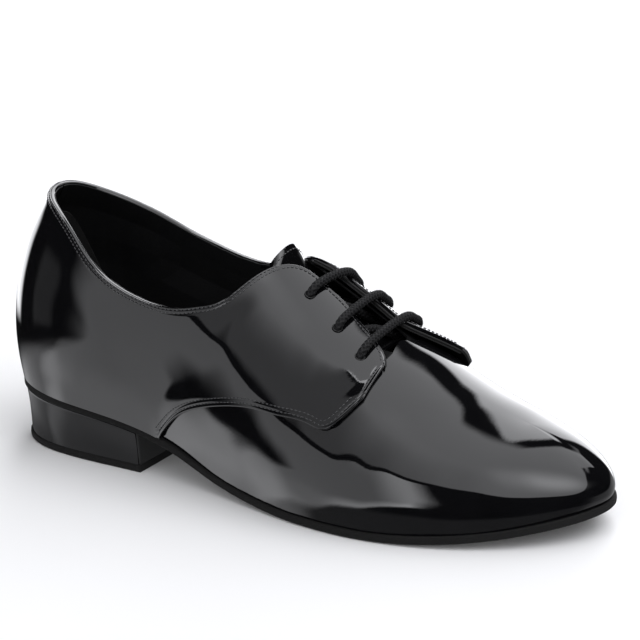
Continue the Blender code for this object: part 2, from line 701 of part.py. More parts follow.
def tongue(finish):
    """The tongue lies along the instep under the lace and stands up past the top edge."""
    x = np.array([180.6, 175, 168.5, 160, 151, 145, 140, 136, 133, 130.5, 128.5])
    half = [13, 15, 18, 20, 21, 21.5, 21.5, 21, 20, 18, 14]
    middle = [-1.6, -7.5, -8.6, -8.3, -8.0, -7.7, -6.2, -4, -1.8, 0.2, 1.2]
    edge_off = [-3.2, -7.7, -8.9, -8.3, -8.0, -7.9, -7.8, -7.4, -6.8, -6.2, -5.6]
    b = np.linspace(-1, 1, 9)
    for name, layer, mat in (("tongue", (0, -1.1), "patent"), ("tongue_lining", (-1.5, -2.4), "lining")):
        grids = []
        for more in layer:
            rows = []
            for q in b:
                row = []
                for k in range(len(x)):
                    side, u, t = across_at(x[k], 3.5 + half[k] * q)
                    off = middle[k] + (edge_off[k] - middle[k]) * q * q
                    row.append(skin(side, u, t, off + more))
                rows.append(row)
            grids.append(np.array(rows))
        shell(name, *grids, finish[mat])


def main():
    for old in list(bpy.data.objects):
        bpy.data.objects.remove(old)
    finish = {
        "patent": material("black_patent", (0.012, 0.012, 0.014), 0.06),
        "lining": material("black_lining", (0.02, 0.02, 0.022), 0.8),
        "suede": material("black_suede", (0.018, 0.017, 0.017), 0.95),
        "board": material("fibre_board", (0.35, 0.24, 0.15), 0.9),
        "cork": material("cork", (0.45, 0.3, 0.17), 0.9),
        "plastic": material("heel_plastic", (0.05, 0.05, 0.05), 0.5),
        "steel": material("steel", (0.5, 0.5, 0.52), 0.35, 1.0),
        "metal": material("eyelet_metal", (0.1, 0.1, 0.1), 0.4, 1.0),
        "cord": material("black_cord", (0.02, 0.02, 0.022), 0.85),
        "tip": material("tip_plastic", (0.02, 0.02, 0.02), 0.3),
    }
    nail_holes = nails(finish)
    eyelet_holes = eyelets(finish)
    bottom(finish, nail_holes)
    shank(finish)
    heel(finish, nail_holes)
    vamp(finish)
    for side, word in ((OUTER_SIDE, "outer"), (INNER_SIDE, "inner")):
        quarter(side, f"quarter_{word}", finish["patent"], eyelet_holes[side])
        quarter_lining(side, f"quarter_lining_{word}", finish["lining"], eyelet_holes[side])
    heel_wrap("heel_counter", 0.29, 2.5, 86, VAMP, finish["board"])
    heel_wrap("heel_grip", 0.17, 9.0, 99, HEEL_GRIP, finish["suede"])
    topline_bead(finish)
    tongue(finish)
    lace(finish)


main()
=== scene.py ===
import math

import bmesh
import bpy
import numpy as np
from mathutils import Matrix, Vector, noise


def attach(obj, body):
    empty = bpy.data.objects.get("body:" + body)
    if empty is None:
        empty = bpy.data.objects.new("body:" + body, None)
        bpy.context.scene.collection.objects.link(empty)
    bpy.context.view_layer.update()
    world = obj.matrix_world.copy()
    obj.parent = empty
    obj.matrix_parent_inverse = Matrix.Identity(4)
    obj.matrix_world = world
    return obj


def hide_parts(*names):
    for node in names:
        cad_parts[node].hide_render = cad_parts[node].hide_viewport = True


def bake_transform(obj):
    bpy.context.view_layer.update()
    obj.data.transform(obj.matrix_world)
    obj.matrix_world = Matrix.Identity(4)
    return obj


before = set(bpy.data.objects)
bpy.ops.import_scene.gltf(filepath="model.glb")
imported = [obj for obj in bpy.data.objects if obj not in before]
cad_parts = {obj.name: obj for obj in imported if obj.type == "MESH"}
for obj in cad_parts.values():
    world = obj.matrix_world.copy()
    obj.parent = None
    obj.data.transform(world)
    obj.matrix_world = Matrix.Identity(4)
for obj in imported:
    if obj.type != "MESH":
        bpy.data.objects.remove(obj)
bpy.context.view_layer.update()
print("frame loaded,", len(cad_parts), "nodes")

# Lengths are millimetres on the last: x from the heel's back to the toe, y from the outer side to the
# inner side, z up from the ground. place() takes them to the frame.
mm = 0.001
planCentre = (137.27, -1.82)
outer, inner = -1, 1          # the foot's outer side and inner side
words = {outer: "outer", inner: "inner"}

last = {
    "edge": {
        outer: [(-.3, -7), (6, -20), (21, -29.5), (45, -32.5), (75, -33), (105, -36), (133, -43),
                (158, -49), (183, -52), (207, -50), (229, -43.5), (249, -33.5), (266, -20.5), (277, -6)],
        inner: [(-.3, 7), (6, 20), (21, 29.5), (45, 31.5), (75, 29), (103, 26.5), (130, 30),
                (157, 40), (183, 47.5), (208, 48.5), (231, 44), (251, 35), (267, 23.5), (277.5, 9)]},
    "bottomX": [0, 35, 72, 92, 113, 135, 155, 175, 195, 215, 235, 255, 280],
    "bottomZ": [28, 25.5, 21.8, 17, 9.8, 5.5, 3.8, 3.5, 3.5, 4.4, 6.3, 9.3, 14.4],
    "ridgeX": [0, 60, 95, 115, 130, 146, 160, 174, 190, 215, 240, 262],
    "ridgeZ": [138, 137, 122, 108.5, 97, 86, 77.5, 70, 61.5, 49.5, 40.5, 34],
    "ridgeSpan": (38, 240), "ridgeSoft": 9,
    "ridgeY": ([0, 100, 160, 230, 278], [0, 1.5, 2.5, 3, 3]),
}


def spline(xs, ys):
    # natural cubic through the points, also gives slopes
    xs, ys = np.asarray(xs, float), np.asarray(ys, float)
    h = np.diff(xs)
    n = len(xs)
    a, r = np.zeros((n, n)), np.zeros((n,) + ys.shape[1:])
    a[0, 0] = a[-1, -1] = 1
    for i in range(1, n - 1):
        a[i, i - 1:i + 2] = h[i - 1], 2 * (h[i - 1] + h[i]), h[i]
        r[i] = 6 * ((ys[i + 1] - ys[i]) / h[i] - (ys[i] - ys[i - 1]) / h[i - 1])
    m = np.linalg.solve(a, r)

    def at(x, slope=False):
        x = np.asarray(x, float)
        i = np.clip(np.searchsorted(xs, x) - 1, 0, n - 2)
        w = h[i] if ys.ndim == 1 else h[i][..., None]
        s = (x - xs[i]) if ys.ndim == 1 else (x - xs[i])[..., None]
        c = (ys[i + 1] - ys[i]) / w - w * (2 * m[i] + m[i + 1]) / 6
        if slope:
            return c + s * m[i] + s * s * (m[i + 1] - m[i]) / (2 * w)
        return ys[i] + s * c + s * s * m[i] / 2 + s ** 3 * (m[i + 1] - m[i]) / (6 * w)
    return at


def smooth(x, start, end):
    t = np.clip((x - start) / (end - start), 0, 1)
    return t * t * (3 - 2 * t)


def softClamp(x, low, high, soft):
    raised = low + soft * np.logaddexp(0, (x - low) / soft)
    return high - soft * np.logaddexp(0, (high - raised) / soft)


def unit(v):
    return v / (np.linalg.norm(v, axis=-1, keepdims=True) + 1e-12)


bottomZ = spline(last["bottomX"], last["bottomZ"])
ridgeZ = spline(last["ridgeX"], last["ridgeZ"])


def edge(side, u):
    # the last's bottom edge in plan: u is 0 at the heel's back and 1 at the toe's tip
    own, other = np.array(last["edge"][side], float), np.array(last["edge"][-side], float)
    control = np.vstack([other[1], other[0], own, other[-1], other[-2]])
    k = np.clip(np.asarray(u, float) * 14 + 1.5, 1, 16 - 1e-9)
    i = np.floor(k).astype(int)
    f = (k - i)[..., None]
    return ((1 - f) ** 3 * control[i - 1] + (3 * f ** 3 - 6 * f * f + 4) * control[i]
            + (-3 * f ** 3 + 3 * f * f + 3 * f + 1) * control[i + 1] + f ** 3 * control[i + 2]) / 6


def surface(side, u, t):
    # a point of the last: t is 0 at the bottom edge and 1 on the ridge
    u, t = np.broadcast_arrays(np.asarray(u, float), np.asarray(t, float))
    foot = edge(side, u)
    x, y = foot[..., 0], foot[..., 1]
    low = bottomZ(np.clip(x, 0, 280))
    rx = softClamp(x, *last["ridgeSpan"], last["ridgeSoft"])
    ry = np.interp(rx, *last["ridgeY"])
    fuller = 0.12 if side == inner else 0.0
    power = 2.3 - 1.4 * smooth(x, 0, 75) + fuller * smooth(x, 150, 220) * (1 - smooth(x, 235, 277))
    bulge = 9 - 5 * smooth(x, 150, 270)
    c, s = np.cos(t * np.pi / 2), np.sin(t * np.pi / 2)
    drop = -ridgeZ(rx, True) * (x - rx) * np.clip((x - 150) / 60, 0, 1)
    rise = ridgeZ(rx) - low - drop
    out = np.stack([x - rx, y - ry], -1)
    reach = np.linalg.norm(out, axis=-1)
    width = reach * np.abs(c) ** power + bulge * 2 * s * c * c
    plan = out / reach[..., None] * width[..., None]
    return np.stack([rx + plan[..., 0], ry + plan[..., 1], low + rise * s + drop * (1 - c)], -1)


def slopes(side, u, t):
    # how the surface point moves with u and with t
    e = 1e-3
    t = np.clip(t, e, 0.985)
    return ((surface(side, u + e, t) - surface(side, u - e, t)) / (2 * e),
            (surface(side, u, t + e) - surface(side, u, t - e)) / (2 * e))


def outwardAt(side, u, t):
    along, up = slopes(side, u, t)
    return unit(side * np.cross(up, along))


def skin(side, u, t, off):
    # the last's surface moved out by off along its normal
    return surface(side, u, t) + outwardAt(side, u, t) * np.asarray(off, float)[..., None]


def runAlong(points):
    # how far along the line each of its points is
    return np.concatenate([[0], np.cumsum(np.linalg.norm(np.diff(points, axis=0), axis=1))])


def edgeFrame(side, u, t):
    # points of a line on the last, the way out from it, and the way on past it
    points, out = surface(side, u, t), outwardAt(side, u, t)
    return points, out, unit(np.cross(out, unit(np.gradient(points, axis=0)))) * side


def locate(side, x, y=None, z=None):
    u, t, span = 0.5, 0.5, 0.5
    for _ in range(14):
        us = np.clip(u + np.linspace(-span, span, 25), 0, 1)[:, None]
        ts = np.clip(t + np.linspace(-span, span, 25), 0, 1)[None, :]
        p = surface(side, us, ts)
        miss = (p[..., 0] - x) ** 2 + ((p[..., 1] - y) ** 2 if z is None else (p[..., 2] - z) ** 2)
        i, j = np.unravel_index(np.argmin(miss), miss.shape)
        u, t, span = us[i, 0], ts[0, j], span * 0.4
    return u, t


def uAt(side, x):
    u = np.linspace(0, 1, 2001)
    return np.interp(x, np.maximum.accumulate(edge(side, u)[:, 0]), u)


def heightOn(side, u, z):
    t = np.linspace(0, 1, 801)
    return float(np.interp(z, surface(side, u, t)[:, 2], t))


def through(points, start=0.0):
    u, t = np.array(points).T
    curve = spline(u, t)
    return lambda q: curve(np.clip(q, start, u[-1]))


def place(points):
    return (np.asarray(points, float) - np.array([*planCentre, 0])) * mm


class Wire:
    # a number socket that takes part in arithmetic
    def __init__(self, tree, socket):
        self.tree, self.socket = tree, socket

    def maths(self, kind, one, other):
        node = self.tree.nodes.new("ShaderNodeMath")
        node.operation = kind
        for slot, value in zip(node.inputs, (one, other)):
            if isinstance(value, Wire):
                self.tree.links.new(value.socket, slot)
            else:
                slot.default_value = value
        return Wire(self.tree, node.outputs[0])

    def __add__(self, other):
        return self.maths("ADD", self, other)

    def __sub__(self, other):
        return self.maths("SUBTRACT", self, other)

    def __rsub__(self, other):
        return self.maths("SUBTRACT", other, self)

    def __mul__(self, other):
        return self.maths("MULTIPLY", self, other)

    def __pow__(self, other):
        return self.maths("POWER", self, other)

    __radd__, __rmul__ = __add__, __mul__


class Graph:
    def __init__(self, tree):
        self.tree = tree

    def node(self, kind, settings=None, out=0, **sockets):
        made = self.tree.nodes.new(kind)
        for key, value in (settings or {}).items():
            if key == "stops":
                ramp = made.color_ramp
                while len(ramp.elements) < len(value):
                    ramp.elements.new(0.5)
                for stop, (at, colour) in zip(ramp.elements, value):
                    stop.position, stop.color = at, (*colour, 1)
            else:
                setattr(made, key, value)
        for key, value in sockets.items():
            slot = next(s for s in made.inputs if key in (s.identifier, s.name.replace(" ", "_")))
            if isinstance(value, Wire):
                self.tree.links.new(value.socket, slot)
            else:
                slot.default_value = value
        return Wire(self.tree, made.outputs[out])

    def ease(self, value, start, end):
        # 0 before start, 1 after end
        return self.node("ShaderNodeMapRange", {"interpolation_type": "SMOOTHSTEP"}, out="Result",
                         Value=value, From_Min=start, From_Max=end)

    def band(self, value, start, full, falls, end):
        return self.ease(value, start, full) * (1 - self.ease(value, falls, end))


class Finish(Graph):
    def __init__(self, name, **fixed):
        self.material = bpy.data.materials.new(name)
        self.material.use_nodes = True
        super().__init__(self.material.node_tree)
        self.shader = self.tree.nodes["Principled BSDF"]
        for socket, value in fixed.items():
            self.shader.inputs[socket.replace("_", " ")].default_value = value
        self.place = self.node("ShaderNodeTexCoord", out="Object")

    def grain(self, scale, detail=2.0, rough=0.5):
        return self.node("ShaderNodeTexNoise", out="Fac", Vector=self.place, Scale=scale, Detail=detail,
                         Roughness=rough)

    def tint(self, factor, low, high):
        stops = {"stops": [(0.0, low), (1.0, high)]}
        return self.node("ShaderNodeValToRGB", stops, out="Color", Fac=factor)

    def bump(self, height, depth, strength=1.0):
        # depth in millimetres
        return self.node("ShaderNodeBump", out="Normal", Height=height, Distance=depth * mm,
                         Strength=strength)

    def give(self, **sockets):
        for socket, value in sockets.items():
            self.tree.links.new(value.socket, self.shader.inputs[socket.replace("_", " ")])
        return self.material


patent = {"black": (0.0022, 0.0022, 0.0026), "bloom": (0.0038, 0.0038, 0.0044), "gloss": 0.028,
          "swell": 0.5, "ripple": 0.02, "peel": 0.004}      # the last three are heights in millimetres


def patentFinish(name, shine):
    f = Finish(name, Roughness=patent["gloss"], IOR=1.52, Specular_IOR_Level=shine)
    wide, fine, peel = f.grain(38, 0.6), f.grain(110, 0.5), f.grain(900, 2.0)
    height = wide * patent["swell"] + fine * patent["ripple"] + peel * patent["peel"]
    return f.give(Base_Color=f.tint(fine, patent["black"], patent["bloom"]),
                  Roughness=patent["gloss"] + 0.02 * f.grain(320, 3.0) ** 2.0,
                  Normal=f.bump(height, 1.0, 1.0))


def clothFinish(name, dark, light, scale, depth, rough, sheen=0.0):
    f = Finish(name, Sheen_Weight=sheen, Sheen_Roughness=0.5)
    weave, cloud = f.grain(scale, 4.0, 0.6), f.grain(scale * 0.06, 2.0)
    return f.give(Base_Color=f.tint(weave * 0.7 + cloud * 0.3, dark, light),
                  Roughness=rough + 0.08 * weave, Normal=f.bump(weave, depth, 0.7))


def liningFinish():
    f = Finish("blackLining", Specular_IOR_Level=0.16)
    pores = f.node("ShaderNodeTexVoronoi", out="Distance", Vector=f.place, Scale=1500.0)
    cloud, creases = f.grain(60, 3.0), f.grain(420, 5.0, 0.6)
    return f.give(Base_Color=f.tint(cloud, (0.003, 0.003, 0.0032), (0.0075, 0.0075, 0.008)),
                  Roughness=0.52 + 0.16 * creases, Normal=f.bump(pores * 0.5 + creases, 0.10, 0.7))


def threadFinish():
    f = Finish("thread", Sheen_Weight=0.25)
    twist = f.node("ShaderNodeTexWave", {"bands_direction": "DIAGONAL"}, out="Fac", Vector=f.place,
                   Scale=900.0, Distortion=2.0)
    return f.give(Base_Color=f.tint(twist, (0.012, 0.012, 0.013), (0.045, 0.045, 0.048)),
                  Roughness=0.42 + 0.2 * twist, Normal=f.bump(twist, 0.04, 0.6))


def cordFinish():
    f = Finish("braidedCord", Sheen_Weight=0.04, Sheen_Roughness=0.4, Specular_IOR_Level=0.35)
    yarn = f.grain(3200, 3.0, 0.7)
    return f.give(Base_Color=f.tint(yarn, (0.001, 0.001, 0.0012), (0.009, 0.009, 0.0105)),
                  Roughness=0.62 + 0.2 * yarn, Normal=f.bump(yarn, 0.06, 0.8))


def plainFinish(name, dark, light, scale, rough, depth=0.05, metallic=0.0):
    f = Finish(name, Metallic=metallic)
    cloud, fine = f.grain(scale, 4.0), f.grain(scale * 8, 3.0)
    return f.give(Base_Color=f.tint(cloud, dark, light), Roughness=rough + 0.12 * fine,
                  Normal=f.bump(fine, depth, 0.6))


finishes = {
    # the heel cover's copy of the patent has its reflection cut to 0.14: painted shade standing in for the
    # shade the heel sits in, not a different leather
    "patent": patentFinish("blackPatent", 0.5), "shadedHeelPatent": patentFinish("shadedHeelPatent", 0.14),
    "lining": liningFinish(), "thread": threadFinish(), "cord": cordFinish(),
    "suede": clothFinish("blackSuede", (0.0015, 0.0015, 0.0015), (0.008, 0.0078, 0.0075), 1700, 0.35,
                         0.95, 0.01),
    "rawEdge": clothFinish("cutEdge", (0.003, 0.003, 0.003), (0.013, 0.013, 0.013), 2600, 0.15, 0.7),
    "board": plainFinish("fibreBoard", (0.20, 0.13, 0.08), (0.36, 0.25, 0.16), 300, 0.8),
    "cork": plainFinish("cork", (0.22, 0.12, 0.06), (0.45, 0.29, 0.17), 700, 0.82, 0.3),
    "plastic": plainFinish("heelPlastic", (0.008, 0.008, 0.008), (0.014, 0.014, 0.014), 200, 0.5),
    "steel": plainFinish("springSteel", (0.42, 0.42, 0.44), (0.56, 0.56, 0.58), 120, 0.28, 0.02, 1.0),
    "eyelet": plainFinish("blackEyelet", (0.02, 0.02, 0.02), (0.05, 0.05, 0.05), 500, 0.3, 0.02, 0.6),
    "tip": plainFinish("tipPlastic", (0.01, 0.01, 0.01), (0.02, 0.02, 0.02), 400, 0.24),
}
print("finishes made")


def addPiece(name, mesh, finish, body="rear_shoe", replaces=(), angle=0.9, bends=None):
    bmesh.ops.recalc_face_normals(mesh, faces=mesh.faces)
    data = bpy.data.meshes.new(name)
    mesh.to_mesh(data)
    mesh.free()
    data.shade_smooth()
    data.set_sharp_from_angle(angle=angle)
    data.materials.append(finishes[finish])
    piece = bpy.data.objects.new(name, data)
    bpy.context.scene.collection.objects.link(piece)
    if bends:
        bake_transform(piece)
    else:
        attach(piece, body)
    if replaces:
        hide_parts(*replaces)


def gridMesh(outside, inside=None, folded=False):
    # a sheet of rows x columns points, with a wall down to the inside sheet if there is one; folded is for
    # a sheet whose last column closes on itself
    rows, cols = outside.shape[:2]
    mesh = bmesh.new()
    bmesh.ops.create_grid(mesh, x_segments=cols - 1, y_segments=rows - 1, size=0.5)
    back = set()
    if inside is not None:
        made = bmesh.ops.extrude_face_region(mesh, geom=mesh.faces[:])["geom"]
        back = {v for v in made if isinstance(v, bmesh.types.BMVert)}
        if folded:
            walls = [face for face in mesh.faces if all(v.co.x > 0.49999 for v in face.verts)]
            bmesh.ops.delete(mesh, geom=walls, context="FACES")
    sheets = place(outside), None if inside is None else place(inside)
    for v in mesh.verts:
        sheet = sheets[1] if v in back else sheets[0]
        v.co = sheet[round((v.co.y + 0.5) * (rows - 1)), round((v.co.x + 0.5) * (cols - 1))]
    bmesh.ops.remove_doubles(mesh, verts=mesh.verts, dist=2e-6)
    return mesh


def outwards(mesh):
    bmesh.ops.recalc_face_normals(mesh, faces=mesh.faces)
    if mesh.calc_volume(signed=True) < 0:
        bmesh.ops.reverse_faces(mesh, faces=mesh.faces)
    return mesh


def evenly(points, count):
    # points evenly spaced along a smooth curve through the given ones
    points = np.array(points, float)
    step = np.concatenate([[0], np.cumsum(np.sqrt(np.linalg.norm(np.diff(points, axis=0), axis=1)))])
    fine = spline(step, points)(np.linspace(0, step[-1], 6000))
    return spaced(fine, count)


def spaced(fine, count):
    run = runAlong(fine)
    at = np.linspace(0, run[-1], count)
    return np.stack([np.interp(at, run, fine[:, k]) for k in range(3)], 1)


quarters = {
    "collar": {outer: [(24.5, 111), (42.4, 101.8), (55.9, 91.4), (68.7, 85.2), (80, 81.9), (97.2, 80.3),
                       (110.7, 82.7), (122.8, 89.1)],
               inner: [(17.3, 112), (24.1, 106.7), (34.6, 101.3), (47.1, 95.6), (61, 89.4), (76.3, 84.9),
                       (96, 81.5), (110.7, 83), (122.8, 88.3)]},
    "facing": {outer: [(134.6, -5.6), (140, -1), (149, -0.6), (157.4, -1.5), (167.6, -5.9), (175, -9),
                       (179.8, -11.5), (183.6, -14.6), (185.8, -18.4)],
               inner: [(134.6, 16), (140, 14.8), (149, 14.4), (157.4, 14), (166.5, 12.6), (177, 11.5),
                       (184, 16), (190, 22), (194, 28)]},
    "facingStart": {outer: (132, -6), inner: (132, 16.5)},
    "seam": {outer: [(97.3, 30.5), (108.8, 37.4), (123.2, 42.3), (139.4, 45.1), (154.6, 44.8), (168.8, 43.6),
                     (177.3, 43), (183.1, 48.8), (186, 53)],
             inner: [(97.3, 30.5), (108.8, 36.4), (123.2, 40.8), (139.4, 43.1), (154.6, 42.8), (172, 40),
                     (183, 38.5), (190, 42), (194.3, 46)]},
    "seamFoot": 87, "heelTop": 113, "bead": 2.6, "layer": (1.45, 0.2), "edgeRound": 0.42,
    "eyelets": {outer: [(146.9, -11.5), (162.7, -16.2), (176.2, -21.1)],
                inner: [(147.5, 25), (162, 24.5), (176, 24.5)]},
}


def quarterLines(side):
    q = quarters
    top = [(0, heightOn(side, 0, q["heelTop"] - q["bead"]))]
    top += [locate(side, x, z=z - q["bead"]) for x, z in q["collar"][side]]
    top += [locate(side, x, y=y) for x, y in q["facing"][side]]
    low = [(uAt(side, q["seamFoot"]), 0.005)] + [locate(side, x, z=z) for x, z in q["seam"][side]]
    return through(top), through(low, start=low[0][0]), min(top[-1][0], low[-1][0])


lines = {side: quarterLines(side) for side in (outer, inner)}
facingStart = {side: locate(side, x, y=y)[0] for side, (x, y) in quarters["facingStart"].items()}
print("outlines found")


def nearEdges(length, first, last, middle):
    # distances from 0 to length that crowd towards both ends
    room = length / (first[-1] + last[-1] + 1e-9)
    shrink = min(1.0, 0.8 * room)
    a, b = np.array(first) * shrink, length - np.array(last)[::-1] * shrink
    return np.concatenate([a, np.linspace(a[-1], b[0], middle + 2)[1:-1], b])


crowdBack = [0, 0.1, 0.25, 0.5, 1.0, 2.0]
crowd = [0, 0.12, 0.3, 0.55, 0.85, 1.2, 1.6, 2.0, 2.4, 2.8, 3.3, 4.0]


def quarterGrid(side, columns=120, middle=34):
    # u and t of a quarter's points, even in the middle and close together along its edges, and each
    # point's distances from the low edge, the top, the back and the front
    top, low, tip = lines[side]
    us = np.linspace(0.0, tip, 400)
    run = runAlong(surface(side, us, 0.5 * (top(us) + 0.1)))
    fromBack = nearEdges(run[-1], crowdBack, crowd, columns)
    u = np.interp(fromBack, run, us)
    u[-1] = tip - 0.0005
    bottom = np.where(u < uAt(side, quarters["seamFoot"]), 0.001, low(u))
    ts, heights = [], []
    for one, b, t1 in zip(u, bottom, top(u)):
        fine = np.linspace(b, t1, 160)
        length = runAlong(surface(side, one, fine))
        at = nearEdges(length[-1], crowd, crowd, middle)
        ts.append(np.interp(at, length, fine))
        heights.append(at)
    fromLow = np.array(heights).T
    fromBack = np.broadcast_to(fromBack, fromLow.shape)
    return (np.broadcast_to(u, fromLow.shape), np.array(ts).T, fromLow, fromLow[-1:] - fromLow, fromBack,
            run[-1] - fromBack)


def lump(points, size, depth, seed):
    # slow swells of the leather, so that reflections waver
    out = np.zeros(points.shape[:2])
    for i in range(points.shape[0]):
        for j in range(points.shape[1]):
            p = Vector(points[i, j]) / size + Vector((seed, 2 * seed, 0))
            out[i, j] = noise.noise(p) * depth
    return out


stitch = {"pitch": 1.95, "length": 1.45, "radius": 0.27, "channel": 0.10, "channelHalf": 0.55,
          "proud": {"collar": 0.02, "facing": 0.04, "seam": 0.04, "front": 0.04},
          "facingInset": 1.9, "seamInset": (1.7, 3.5), "collarInset": (0.55, 2.0)}


def channel(distance, rows):
    # the shallow groove that a stitch row pulls into the leather
    return sum(-stitch["channel"] * np.exp(-((distance - r) / stitch["channelHalf"]) ** 2) for r in rows)


def rim(distance):
    # how far the surface falls where the cut edge is rounded over
    r = quarters["edgeRound"]
    return -r * (1 - np.sqrt(np.clip(1 - (1 - np.clip(distance / r, 0, 1)) ** 2, 0, 1)))


# how far each facing's edge stands off, at places along it, and how far in that reaches; then the same
# for its front edge, with how sharply it fades
tabs = {outer: {"x": [132, 165, 184], "edge": [0, 0, 0.4], "reach": 14, "front": 0.9},
        inner: {"x": [130, 141, 158, 172, 188], "edge": [0, 2.2, 2.2, 2.2, 3.0], "reach": 18,
                "front": 0.6},
        "frontReach": 26, "fade": 1.3}


def tabLift(side, x, fromTop, fromFront):
    tab = tabs[side]
    return (np.interp(x, tab["x"], tab["edge"]) * (1 - smooth(fromTop, 0, tab["reach"]))
            + tab["front"] * np.clip(1 - fromFront / tabs["frontReach"], 0, 1) ** tabs["fade"])


def makeQuarter(side):
    u, t, fromLow, fromTop, fromBack, fromFront = quarterGrid(side)
    foot = uAt(side, quarters["seamFoot"])
    base = surface(side, u, t)
    swell = lump(base, 17, 0.22, 3 + side) + lump(base, 38, 1.0, 9 + side)
    free = smooth(fromTop, 5, 26) * np.where(u > foot, smooth(fromLow, 4, 16), 1)
    off = quarters["layer"][0] + swell * free
    off += np.where(u > foot, rim(fromLow) + channel(fromLow, stitch["seamInset"]), 0)
    off += np.where(u < facingStart[side], channel(fromTop, stitch["collarInset"]),
                    rim(fromTop) + channel(fromTop, [stitch["facingInset"]]))
    off += rim(fromFront) + channel(fromFront, [stitch["facingInset"]]) + 0.6 * rim(fromBack)
    lift = tabLift(side, base[..., 0], fromTop, fromFront)
    outside = skin(side, u, t, off + lift)
    inside = skin(side, u, t, np.full_like(off, quarters["layer"][1]) + lift)
    mesh = outwards(gridMesh(outside, inside))
    addPiece(f"quarter{words[side].title()}", mesh, "patent", replaces=[f"quarter_{words[side]}"],
             angle=0.75)


for side in (outer, inner):
    makeQuarter(side)
print("quarters made")


def stitchRun(mesh, side, u, t, inset, inward, where, trim=(0, 0)):
    # one row of stitches, moved inward by inset from the line (u, t) on the quarter's edge
    along, up = slopes(side, u, t)
    points = surface(side, u, t)
    normal = unit(side * np.cross(up, along))
    aside = unit(np.cross(normal, unit(np.gradient(points, axis=0)))) * inward * inset
    moves = np.array([np.linalg.lstsq(np.stack([a, b], 1), move, rcond=None)[0]
                      for a, b, move in zip(along, up, aside)])
    run = runAlong(points)
    left, far = run[-1] - run, 99.0 + 0 * run
    fromTop, fromFront = {"facing": (inset, left), "seam": (far, left), "front": (left, inset),
                          "collar": (far, far)}[where]
    off = quarters["layer"][0] + stitch["proud"][where] + tabLift(side, points[:, 0], fromTop, fromFront)
    path = skin(side, u + moves[:, 0], np.clip(t + moves[:, 1], 0, 1), off)
    placeStitches(mesh, path, normal, trim)


def placeStitches(mesh, path, normal, trim=(0, 0)):
    run = runAlong(path)
    pitch, radius = stitch["pitch"], stitch["radius"]
    for k in range(max(1, int((run[-1] - sum(trim)) / pitch))):
        at = trim[0] + (k + 0.5) * pitch
        p, q, n = (np.array([np.interp(near, run, v[:, i]) for i in range(3)])
                   for near, v in ((at - 0.3, path), (at + 0.3, path), (at, normal)))
        forward, up = Vector(q - p).normalized(), Vector(n).normalized()
        across = up.cross(forward).normalized()
        turn = Matrix((forward, across, forward.cross(across))).transposed().to_4x4()
        size = Matrix.Diagonal((stitch["length"] / 2 * mm, radius * mm, radius * mm, 1))
        middle = Matrix.Translation(Vector(place((p + q) / 2)))
        bmesh.ops.create_uvsphere(mesh, u_segments=6, v_segments=5, radius=1.0,
                                  matrix=middle @ turn @ size @ Matrix.Rotation(math.pi / 2, 4, "Y"))


def quarterStitches(side):
    top, low, tip = lines[side]
    mesh = bmesh.new()
    start, foot = facingStart[side], uAt(side, quarters["seamFoot"])
    u = np.linspace(0.004, start, 260)
    for inset in stitch["collarInset"]:
        stitchRun(mesh, side, u, top(u), inset, side, "collar")
    u = np.linspace(start, tip, 200)
    stitchRun(mesh, side, u, top(u), stitch["facingInset"], side, "facing", trim=(0, 2))
    u = np.linspace(foot + 0.004, tip, 260)
    for inset in stitch["seamInset"]:
        stitchRun(mesh, side, u, low(u), inset, -side, "seam", trim=(0, 1.5))
    t = np.linspace(low(tip), top(tip), 120)
    stitchRun(mesh, side, np.full_like(t, tip), t, stitch["facingInset"], -side, "front", trim=(2, 2))
    addPiece(f"quarterStitches{words[side].title()}", mesh, "thread")


for side in (outer, inner):
    quarterStitches(side)
print("stitches made")


# half is the folded edge's half thickness; it ends on each side where the facing starts
collarEdge = {"half": 1.45, "height": 1.45, "centre": 1.15, "roundness": 0.8,
              "end": {outer: {"x": 130.5, "z": 92.5 - quarters["bead"]}, inner: {"x": 131, "y": 17}}}


def collarLine():
    halves = []
    for side in (outer, inner):
        u = np.linspace(0, locate(side, **collarEdge["end"][side])[0], 240)
        p, out, rise = edgeFrame(side, u, lines[side][0](u))
        halves.append((p + rise * collarEdge["centre"], rise, out))
    return [np.vstack([one[::-1], other[1:]]) for one, other in zip(*halves)]


def sweep(name, line, ups, outs, half, height, finish, around=14, roundness=1.0, **more):
    # an oval section carried along the line, rounded off at both ends
    step, endLength = 1.1, 1.5
    run = runAlong(line)
    at = np.linspace(0, run[-1], int(run[-1] / step))
    line, ups, outs = (np.stack([np.interp(at, run, v[:, k]) for k in range(3)], 1)
                       for v in (line, ups, outs))
    short = (1 - np.minimum(at, run[-1] - at) / endLength).clip(0)
    ends = np.sqrt(np.clip(1 - short ** 2, 0.02, 1))

    def oval(wave):
        return np.sign(wave) * abs(wave) ** roundness * ends
    rings = [line + outs * (oval(np.cos(a)) * half)[:, None] + ups * (oval(np.sin(a)) * height)[:, None]
             for a in np.linspace(0, 2 * np.pi, around + 1)]
    mesh = gridMesh(np.array(rings))
    bmesh.ops.holes_fill(mesh, edges=[e for e in mesh.edges if e.is_boundary])
    addPiece(name, outwards(mesh), finish, **more)


sweep("collarEdge", *collarLine(), collarEdge["half"], collarEdge["height"], "patent",
      roundness=collarEdge["roundness"], replaces=["topline_bead"])
print("collar made")

# the facings' layered edges: offset, half thickness, half width
facingLayers = {"core": (-0.35, 0.5, 0.55), "lining": (-1.3, 0.5, 0.5)}


def facingEdge(side):
    top, _, tip = lines[side]
    u = np.linspace(facingStart[side], tip, 200)
    points, out, rise = edgeFrame(side, u, top(u))
    run = runAlong(points)
    lift = tabLift(side, points[:, 0], 0.0, run[-1] - run)[:, None]
    for layer, (off, half, width) in facingLayers.items():
        line = points + out * (lift + off) - rise * (width * 0.8)
        sweep(f"facing{layer.title()}{words[side].title()}", line, rise, out, half, width, "rawEdge",
              around=8)


